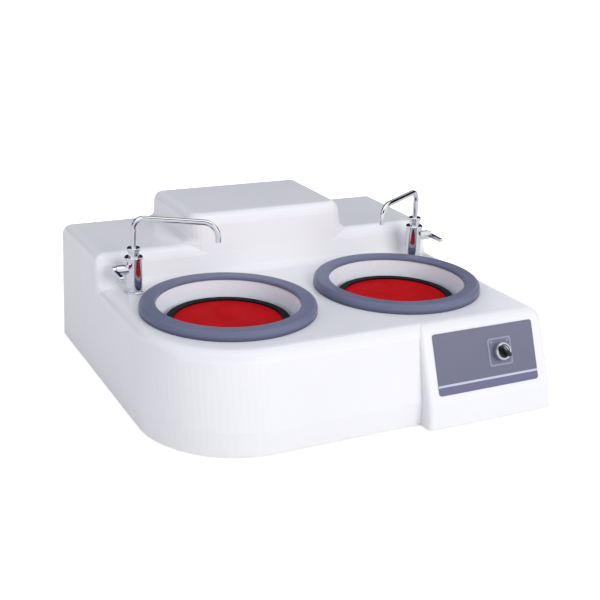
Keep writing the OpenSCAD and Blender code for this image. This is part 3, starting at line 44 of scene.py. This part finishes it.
CAM_PLACE = Vector((-0.8742, -1.7264, 0.8324))
CAM_AZIMUTH = math.radians(27.36)
CAM_DROP = math.radians(19.91)
CAM_ROLL = math.radians(2.10)
CAM_LENS = 66.12
SENSOR = 36.0


def make_camera():
    sa, ca = math.sin(CAM_AZIMUTH), math.cos(CAM_AZIMUTH)
    sd, cd = math.sin(CAM_DROP), math.cos(CAM_DROP)
    ahead = Vector((sa * cd, ca * cd, -sd))
    level = Vector((ca, -sa, 0.0))
    up = level.cross(ahead)
    right = level * math.cos(CAM_ROLL) + up * math.sin(CAM_ROLL)
    top = up * math.cos(CAM_ROLL) - level * math.sin(CAM_ROLL)
    turn = Matrix((right, top, -ahead)).transposed().to_4x4()
    data = bpy.data.cameras.new("camera")
    data.lens = CAM_LENS
    data.sensor_width = SENSOR
    data.clip_start = 0.05
    camera = bpy.data.objects.new("camera", data)
    camera.matrix_world = Matrix.Translation(CAM_PLACE) @ turn
    bpy.context.scene.collection.objects.link(camera)
    bpy.context.scene.camera = camera


# Materials

class Recipe:
    """A material whose nodes are added one line at a time."""

    def __init__(self, name, **fixed):
        self.material = bpy.data.materials.new(name)
        self.material.use_nodes = True
        self.tree = self.material.node_tree
        self.shader = self.tree.nodes["Principled BSDF"]
        for key, value in fixed.items():
            self.shader.inputs[key.replace("_", " ")].default_value = value
        self.place = self.add("ShaderNodeTexCoord").outputs["Object"]

    def add(self, kind, **settings):
        node = self.tree.nodes.new(kind)
        for key, value in settings.items():
            setattr(node, key, value)
        return node

    def link(self, out, into):
        self.tree.links.new(out, into)

    def mapped(self, scale=(1, 1, 1), shift=(0, 0, 0), turn=(0, 0, 0)):
        node = self.add("ShaderNodeMapping")
        node.inputs["Scale"].default_value = scale
        node.inputs["Location"].default_value = shift
        node.inputs["Rotation"].default_value = turn
        self.link(self.place, node.inputs["Vector"])
        return node.outputs["Vector"]

    def height(self):
        parts = self.add("ShaderNodeSeparateXYZ")
        self.link(self.place, parts.inputs[0])
        return parts.outputs["Z"]

    def noise(self, scale, detail=3.0, rough=0.5, place=None):
        node = self.add("ShaderNodeTexNoise")
        node.inputs["Scale"].default_value = scale
        node.inputs["Detail"].default_value = detail
        node.inputs["Roughness"].default_value = rough
        self.link(place or self.place, node.inputs["Vector"])
        return node.outputs["Fac"]

    def wave(self, scale, kind="BANDS", direction="X", distort=0.0, place=None):
        node = self.add("ShaderNodeTexWave", wave_type=kind)
        if kind == "BANDS":
            node.bands_direction = direction
        else:
            node.rings_direction = direction
        node.inputs["Scale"].default_value = scale
        node.inputs["Distortion"].default_value = distort
        node.inputs["Detail"].default_value = 1.0
        self.link(place or self.place, node.inputs["Vector"])
        return node.outputs["Fac"]

    def maths(self, how, a, b):
        node = self.add("ShaderNodeMath", operation=how)
        for socket, value in zip(node.inputs, (a, b)):
            if isinstance(value, (int, float)):
                socket.default_value = value
            else:
                self.link(value, socket)
        return node.outputs[0]

    def spread(self, value, low, high, start=0.3, end=0.7):
        node = self.add("ShaderNodeMapRange")
        self.link(value, node.inputs["Value"])
        for key, number in (("From Min", start), ("From Max", end), ("To Min", low), ("To Max", high)):
            node.inputs[key].default_value = number
        return node.outputs["Result"]

    def colour(self, value, *stops):
        """stops are (position, (r, g, b))."""
        node = self.add("ShaderNodeValToRGB")
        ramp = node.color_ramp
        while len(ramp.elements) < len(stops):
            ramp.elements.new(0.5)
        for element, (position, rgb) in zip(ramp.elements, stops):
            element.position = position
            element.color = (*rgb, 1.0)
        self.link(value, node.inputs["Fac"])
        self.link(node.outputs["Color"], self.shader.inputs["Base Color"])
        return node.outputs["Color"]

    def rough(self, value, low, high):
        self.link(self.spread(value, low, high), self.shader.inputs["Roughness"])

    def bump(self, height, strength, distance):
        node = self.add("ShaderNodeBump")
        node.inputs["Strength"].default_value = strength
        node.inputs["Distance"].default_value = distance
        self.link(height, node.inputs["Height"])
        before = self.shader.inputs["Normal"].links
        if before:
            self.link(before[0].from_socket, node.inputs["Normal"])
        self.link(node.outputs["Normal"], self.shader.inputs["Normal"])


def around(rgb, spread):
    """The same colour, a little darker and a little lighter."""
    return tuple(c * (1 - spread) for c in rgb), tuple(min(c * (1 + spread), 1.0) for c in rgb)


def paint(name, rgb, spread=0.02, low=0.2, high=0.3, peel=0.04, coat=0.0, **fixed):
    r = Recipe(name, Coat_Weight=coat, **fixed)
    dark, pale = around(rgb, spread)
    r.colour(r.noise(6.0, 4.0), (0.3, dark), (0.7, pale))
    r.rough(r.noise(28.0, 5.0, 0.6), low, high)
    r.bump(r.noise(420.0, 2.0), peel, 0.0004)
    return r.material


def plastic(name, rgb, spread=0.05, low=0.32, high=0.45, grain=1400.0, depth=0.12, shine=0.5):
    r = Recipe(name, Specular_IOR_Level=shine)
    dark, pale = around(rgb, spread)
    r.colour(r.noise(14.0, 5.0, 0.6), (0.3, dark), (0.7, pale))
    r.rough(r.noise(60.0, 4.0), low, high)
    r.bump(r.noise(grain, 3.0, 0.6), depth, 0.0002)
    return r.material


def metal(name, rgb, spread=0.06, low=0.2, high=0.35, lines=(40, 40, 900), depth=0.08):
    r = Recipe(name, Metallic=1.0)
    dark, pale = around(rgb, spread)
    lay = r.noise(1.0, 4.0, 0.7, r.mapped(scale=lines))
    r.colour(lay, (0.3, dark), (0.7, pale))
    r.rough(r.noise(35.0, 5.0, 0.6), low, high)
    r.bump(lay, depth, 0.0002)
    return r.material


def turned(name, rgb, centre, low=0.22, high=0.36, pitch=1.6):
    """Metal with fine rings left by the lathe, round a vertical axis."""
    r = Recipe(name, Metallic=1.0)
    dark, pale = around(rgb, 0.06)
    spot = r.mapped(shift=(-centre[0], -centre[1], 0))
    rings = r.wave(1000.0 / pitch / math.tau, "RINGS", "Z", 0.4, spot)
    r.colour(r.noise(22.0, 4.0, 0.6), (0.3, dark), (0.7, pale))
    r.rough(r.noise(50.0, 4.0), low, high)
    r.bump(rings, 0.15, 0.0001)
    return r.material


def ring_painted_foot_shade(name, rgb, low, high):
    """Satin plastic whose colour darkens towards its foot between two heights, a painted contact shadow
    where it sits.
    """
    r = Recipe(name, Specular_IOR_Level=0.25)
    rise = r.spread(r.height(), 0.0, 0.8, low, high)
    mottle = r.maths("MULTIPLY", r.noise(14.0, 5.0, 0.6), 0.2)
    dark, pale = around(rgb, 0.04)
    # Colour of the painted contact shadow at the foot
    painted_shade_rgb = tuple(c * 0.35 for c in rgb)
    r.colour(r.maths("ADD", rise, mottle), (0.0, painted_shade_rgb), (0.8, dark), (1.0, pale))
    r.rough(r.noise(60.0, 4.0), 0.28, 0.38)
    r.bump(r.noise(1600.0, 3.0, 0.6), 0.08, 0.0002)
    return r.material


# Height of the top of the panel's stripe, and the reach of the film's tones under and over it
STRIPE_TOP, TONE_UNDER, TONE_OVER = 0.0752, 0.03, 0.07


def printed(name, low_rgb, high_rgb):
    """Satin printed film whose tone changes at the height of the stripe."""
    r = Recipe(name, Specular_IOR_Level=0.3)
    height = r.maths("ADD", r.height(), r.maths("MULTIPLY", r.noise(40.0, 4.0), 0.0004))
    high_dark, high_pale = around(high_rgb, 0.03)
    low_dark, low_pale = around(low_rgb, 0.03)
    r.colour(r.spread(height, 0.0, 1.0, STRIPE_TOP - TONE_UNDER, STRIPE_TOP + TONE_OVER),
             (0.0, low_dark), (0.29, low_pale), (0.31, high_dark), (1.0, high_pale))
    r.rough(r.noise(60.0, 4.0), 0.40, 0.50)
    r.bump(r.noise(2200.0, 3.0, 0.6), 0.08, 0.0002)
    return r.material


def woven(name, rgb, pitch=0.8):
    """Cloth of fine crossed threads with a soft nap."""
    r = Recipe(name, Specular_IOR_Level=0.05)
    scale = 1000.0 / pitch / math.tau
    warp, weft = (r.wave(scale, "BANDS", d, 0.6) for d in "XY")
    weave = r.maths("MULTIPLY", warp, weft)
    dark, pale = around(rgb, 0.2)
    brushed = r.mapped(scale=(14.0, 60.0, 1.0), turn=(0.0, 0.0, math.radians(35.0)))
    nap = r.noise(1.0, 5.0, 0.65, brushed)
    mix = r.maths("ADD", r.maths("MULTIPLY", weave, 0.30), r.maths("MULTIPLY", nap, 0.70))
    r.colour(mix, (0.25, dark), (0.65, pale))
    r.rough(r.noise(30.0, 4.0), 0.55, 0.7)
    r.bump(weave, 0.25, 0.0002)
    return r.material


# Axes of the two turntables
LEFT, RIGHT = (-0.168, -0.096), (0.168, -0.096)
WHITE = (0.84, 0.835, 0.85)
SLATE = (0.145, 0.160, 0.250)
ALUMINIUM = (0.78, 0.79, 0.80)
# Heights between which a splash ring's colour darkens towards its foot, a painted contact shadow where
# it sits on the deck
RING_PAINTED_SHADE_HEIGHTS = (0.170, 0.1785)


def make_materials():
    return {
        "white_housing": paint("white_housing", WHITE, 0.010, 0.21, 0.25, 0.02, coat=0.1,
                               Specular_IOR_Level=0.36),
        "white_bowl": paint("white_bowl", (0.87, 0.90, 0.96), 0.02, 0.24, 0.36, 0.05),
        # The splash rings carry a painted contact shadow towards their foot
        "slate_ring": ring_painted_foot_shade("slate_ring", SLATE, *RING_PAINTED_SHADE_HEIGHTS),
        "red_cloth": woven("red_cloth", (0.52, 0.001, 0.004)),
        "black_hoop": plastic("black_hoop", (0.006, 0.006, 0.008), 0.2, 0.5, 0.65, 1400.0, 0.1, 0.08),
        "platen_aluminium": turned("platen_aluminium", ALUMINIUM, LEFT),
        "machined_steel": metal("machined_steel", (0.60, 0.61, 0.63), 0.05, 0.18, 0.30),
        "zinc_steel": metal("zinc_steel", (0.58, 0.60, 0.63), 0.08, 0.30, 0.50, (90, 90, 90), 0.05),
        "bolt_steel": metal("bolt_steel", (0.50, 0.51, 0.53), 0.08, 0.25, 0.40, (300, 300, 300), 0.1),
        "cast_grey": metal("cast_grey", (0.30, 0.31, 0.32), 0.12, 0.42, 0.60, (260, 260, 260), 0.3),
        "motor_paint": paint("motor_paint", (0.12, 0.16, 0.20), 0.08, 0.35, 0.5, 0.2),
        "winding_copper": metal("winding_copper", (0.62, 0.30, 0.14), 0.15, 0.3, 0.45,
                                (30, 30, 1500), 0.4),
        "rotor_steel": metal("rotor_steel", (0.40, 0.41, 0.43), 0.08, 0.3, 0.42, (20, 20, 2500), 0.4),
        "black_plastic": plastic("black_plastic", (0.008, 0.008, 0.010), 0.2, 0.32, 0.45),
        "black_rubber": plastic("black_rubber", (0.022, 0.022, 0.022), 0.2, 0.6, 0.8, 900.0, 0.3),
        "tap_chrome": metal("tap_chrome", (0.74, 0.75, 0.79), 0.015, 0.04, 0.08, (60, 60, 60), 0.01),
        "bezel_chrome": metal("bezel_chrome", (0.60, 0.60, 0.64), 0.02, 0.16, 0.24, (60, 60, 60), 0.02),
        "panel_slate": printed("panel_slate", (0.150, 0.152, 0.245), (0.165, 0.165, 0.235)),
        "panel_light": printed("panel_light", (0.55, 0.56, 0.68), (0.28, 0.29, 0.39)),
        "clear_hose": plastic("clear_hose", (0.60, 0.64, 0.68), 0.05, 0.18, 0.3, 300.0, 0.05),
        "grey_hose": plastic("grey_hose", (0.22, 0.23, 0.25), 0.1, 0.4, 0.55, 500.0, 0.2),
        "outlet_steel": metal("outlet_steel", (0.66, 0.67, 0.69), 0.05, 0.2, 0.32, (30, 900, 30), 0.08),
    }


# Angle in degrees under which two faces are shaded as one
SMOOTHED = {"shell": 28.0, "selector_knob": 40.0, "left_bowl": 35.0, "right_bowl": 35.0}


def soften(obj, angle):
    """Shades an object's shallow edges as one surface, without touching its mesh."""
    group = bpy.data.node_groups.new("soften_" + obj.name, "GeometryNodeTree")
    group.interface.new_socket("Geometry", in_out="INPUT", socket_type="NodeSocketGeometry")
    group.interface.new_socket("Geometry", in_out="OUTPUT", socket_type="NodeSocketGeometry")
    start, end = group.nodes.new("NodeGroupInput"), group.nodes.new("NodeGroupOutput")
    faces = group.nodes.new("GeometryNodeSetShadeSmooth")
    faces.domain = "FACE"
    edges = group.nodes.new("GeometryNodeSetShadeSmooth")
    edges.domain = "EDGE"
    bend = group.nodes.new("GeometryNodeInputMeshEdgeAngle")
    test = group.nodes.new("FunctionNodeCompare")
    test.data_type = "FLOAT"
    test.operation = "LESS_THAN"
    test.inputs[1].default_value = math.radians(angle)
    group.links.new(bend.outputs["Unsigned Angle"], test.inputs[0])
    group.links.new(start.outputs[0], faces.inputs["Geometry"])
    group.links.new(faces.outputs["Geometry"], edges.inputs["Geometry"])
    group.links.new(test.outputs["Result"], edges.inputs["Shade Smooth"])
    group.links.new(edges.outputs["Geometry"], end.inputs[0])
    obj.modifiers.new("soften", "NODES").node_group = group
    weighted = obj.modifiers.new("weighted", "WEIGHTED_NORMAL")
    weighted.keep_sharp = True


def dress_nodes(materials):
    for name, obj in NODES.items():
        material = materials[SLOT_OF[name]]
        if name == "right_platen":
            material = turned("platen_aluminium_right", ALUMINIUM, RIGHT)
        obj.data.materials.clear()
        obj.data.materials.append(material)
    for name, angle in SMOOTHED.items():
        soften(NODES[name], angle)


# Pieces added to the selector knob

def add_object(name, mesh, material):
    data = bpy.data.meshes.new(name)
    mesh.to_mesh(data)
    mesh.free()
    data.materials.append(material)
    obj = bpy.data.objects.new(name, data)
    bpy.context.scene.collection.objects.link(obj)
    return obj


def add_piece(name, mesh, body, materials, slot):
    obj = add_object(name, mesh, materials[slot])
    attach(obj, body)


KNOB_CENTRE = Vector((0.2465, -0.318547, 0.112481))
KNOB_OUT = Vector((0.0, -0.931023, 0.364961))
KNOB_UP = Vector((0.0, 0.364961, 0.931023))
KNOB_TURN = math.radians(40.0)
# Heights of the knob's disc and of its grip above the panel's back, and half the grip's width
DISC_TOP, GRIP_TOP, GRIP_HALF = 0.0135, 0.0230, 0.0032
# Silver insert on the disc: radius, distance from the grip, lift, thickness, steps in a half arc
INSERT_R, INSERT_GAP, INSERT_LIFT, INSERT_T, ARC_STEPS = 0.0096, 0.0004, 0.00002, 0.0005, 12
# Pointer line on the grip: half width, near end, far end, thickness
POINTER_HALF, POINTER_NEAR, POINTER_FAR, POINTER_T = 0.0006, 0.0020, 0.0102, 0.0001


def on_knob(x, y, z):
    """A point given along and across the grip, and out of the panel."""
    c, s = math.cos(KNOB_TURN), math.sin(KNOB_TURN)
    return KNOB_CENTRE + Vector((1, 0, 0)) * (x * c - y * s) + KNOB_UP * (x * s + y * c) + KNOB_OUT * z


def slab(outline, low, high):
    """A flat plate on the knob with the given outline, anticlockwise."""
    mesh = bmesh.new()
    under = [mesh.verts.new(on_knob(x, y, low)) for x, y in outline]
    over = [mesh.verts.new(on_knob(x, y, high)) for x, y in outline]
    mesh.faces.new(over)
    mesh.faces.new(list(reversed(under)))
    count = len(outline)
    for i in range(count):
        j = (i + 1) % count
        mesh.faces.new((under[i], under[j], over[j], over[i]))
    return mesh


def knob_details(materials):
    half = math.acos((GRIP_HALF + INSERT_GAP) / INSERT_R)
    turns = [half * i / ARC_STEPS for i in range(-ARC_STEPS, ARC_STEPS + 1)]
    insert = [(INSERT_R * math.cos(a), INSERT_R * math.sin(a)) for a in turns]
    plate = slab(insert, DISC_TOP + INSERT_LIFT, DISC_TOP + INSERT_T)
    add_piece("knob_insert", plate, "knob", materials, "bezel_chrome")
    line = [(-POINTER_HALF, POINTER_NEAR), (POINTER_HALF, POINTER_NEAR),
            (POINTER_HALF, POINTER_FAR), (-POINTER_HALF, POINTER_FAR)]
    plate = slab(line, GRIP_TOP, GRIP_TOP + POINTER_T)
    add_piece("knob_pointer", plate, "knob", materials, "panel_light")


# Stage

# Strength of the world on the object, and light that the floor gives to the camera alone
WORLD_FILL = 0.74
FLOOR_LIFT = 0.60
# Colour of the world on the object, from the horizon to the zenith
SKY = ((0.15, (1.0, 0.985, 0.98)), (0.9, (0.62, 0.65, 0.76)))
FLOOR_HALF = 40.0
# Lamps: name, place, target, width, height, power, colour
LAMPS = (
    ("key", (1.9, -6.0, 3.2), (0.0, -0.1, 0.15), 4.6, 3.2, 228.0, (1.0, 1.0, 1.0)),
    ("top", (0.2, 0.3, 3.0), (0.0, 0.0, 0.1), 2.6, 2.2, 13.0, (0.90, 0.94, 1.0)),
    ("side", (-3.0, -0.6, 1.2), (0.0, 0.0, 0.15), 1.6, 1.4, 6.0, (1.0, 0.95, 0.98)),
)
# Dark sheets: name, place, width, height
CARDS = (
    ("back", (0.0, 3.2, 1.9), 6.0, 3.2),
    ("left", (-3.4, 0.6, 1.2), 3.0, 2.0),
    ("right", (3.4, 0.6, 1.2), 3.0, 2.0),
    ("lens", (-1.3, -2.3, 3.0), 3.4, 1.7),
    ("over", (0.2, 1.4, 3.4), 2.4, 1.4),
)
CARD_TARGET = (0.0, 0.0, 0.3)


def aim(obj, place, target):
    obj.location = place
    obj.rotation_euler = (Vector(target) - Vector(place)).to_track_quat("-Z", "Y").to_euler()


def grid(size):
    mesh = bmesh.new()
    bmesh.ops.create_grid(mesh, x_segments=1, y_segments=1, size=size)
    return mesh


def area_light(name, place, target, width, height, power, rgb):
    data = bpy.data.lights.new(name, "AREA")
    data.shape = "RECTANGLE"
    data.size, data.size_y = width, height
    data.energy = power
    data.color = rgb
    obj = bpy.data.objects.new(name, data)
    aim(obj, place, target)
    # The key lamp would leave glare on the white tops when seen from behind
    obj.visible_glossy = name != "key"
    bpy.context.scene.collection.objects.link(obj)


def dark_card(name, place, width, height, material):
    """A dark sheet that only shiny surfaces show, as the dark parts of a studio."""
    obj = add_object("card_" + name, grid(0.5), material)
    aim(obj, place, CARD_TARGET)
    obj.scale = (width, height, 1.0)
    obj.visible_camera = False
    obj.visible_diffuse = False
    obj.visible_transmission = False
    obj.visible_shadow = False


def make_world():
    """White where the camera, metal and glass look, and a cooler zenith as light."""
    world = bpy.data.worlds.new("studio")
    bpy.context.scene.world = world
    world.use_nodes = True
    nodes, links = world.node_tree.nodes, world.node_tree.links
    back = nodes["Background"]
    path = nodes.new("ShaderNodeLightPath")
    seen = path.outputs["Is Camera Ray"]
    for ray in ("Is Transmission Ray", "Is Glossy Ray"):
        either = nodes.new("ShaderNodeMath")
        either.operation = "MAXIMUM"
        links.new(seen, either.inputs[0])
        links.new(path.outputs[ray], either.inputs[1])
        seen = either.outputs[0]
    strength = nodes.new("ShaderNodeMapRange")
    strength.inputs["To Min"].default_value = WORLD_FILL
    strength.inputs["To Max"].default_value = 1.0
    links.new(seen, strength.inputs["Value"])
    links.new(strength.outputs["Result"], back.inputs["Strength"])
    place = nodes.new("ShaderNodeTexCoord")
    parts = nodes.new("ShaderNodeSeparateXYZ")
    links.new(place.outputs["Generated"], parts.inputs[0])
    sky = nodes.new("ShaderNodeValToRGB")
    for element, (position, rgb) in zip(sky.color_ramp.elements, SKY):
        element.position = position
        element.color = (*rgb, 1.0)
    links.new(parts.outputs["Z"], sky.inputs["Fac"])
    colour = nodes.new("ShaderNodeMix")
    colour.data_type = "RGBA"
    factor, first, second = colour.inputs[0], colour.inputs[6], colour.inputs[7]
    second.default_value = (1, 1, 1, 1)
    links.new(seen, factor)
    links.new(sky.outputs["Color"], first)
    links.new(colour.outputs[2], back.inputs["Color"])


def make_floor():
    r = Recipe("floor", Roughness=0.9, Specular_IOR_Level=0.1)
    r.colour(r.noise(2.0), (0.3, (0.86, 0.86, 0.87)), (0.7, (0.88, 0.88, 0.89)))
    path = r.add("ShaderNodeLightPath")
    r.shader.inputs["Emission Color"].default_value = (1, 1, 1, 1)
    lift = r.maths("MULTIPLY", path.outputs["Is Camera Ray"], FLOOR_LIFT)
    r.link(lift, r.shader.inputs["Emission Strength"])
    add_object("floor", grid(FLOOR_HALF), r.material)


def make_stage():
    bpy.context.scene.view_settings.view_transform = "Standard"
    make_world()
    make_floor()
    r = Recipe("dark_card", Roughness=0.9, Specular_IOR_Level=0.0)
    r.colour(r.noise(2.0), (0.3, (0.02, 0.02, 0.024)), (0.7, (0.03, 0.03, 0.034)))
    for name, place, width, height in CARDS:
        dark_card(name, place, width, height, r.material)
    for lamp in LAMPS:
        area_light(*lamp)


make_camera()
MATERIALS = make_materials()
dress_nodes(MATERIALS)
knob_details(MATERIALS)
make_stage()
bpy.context.view_layer.update()
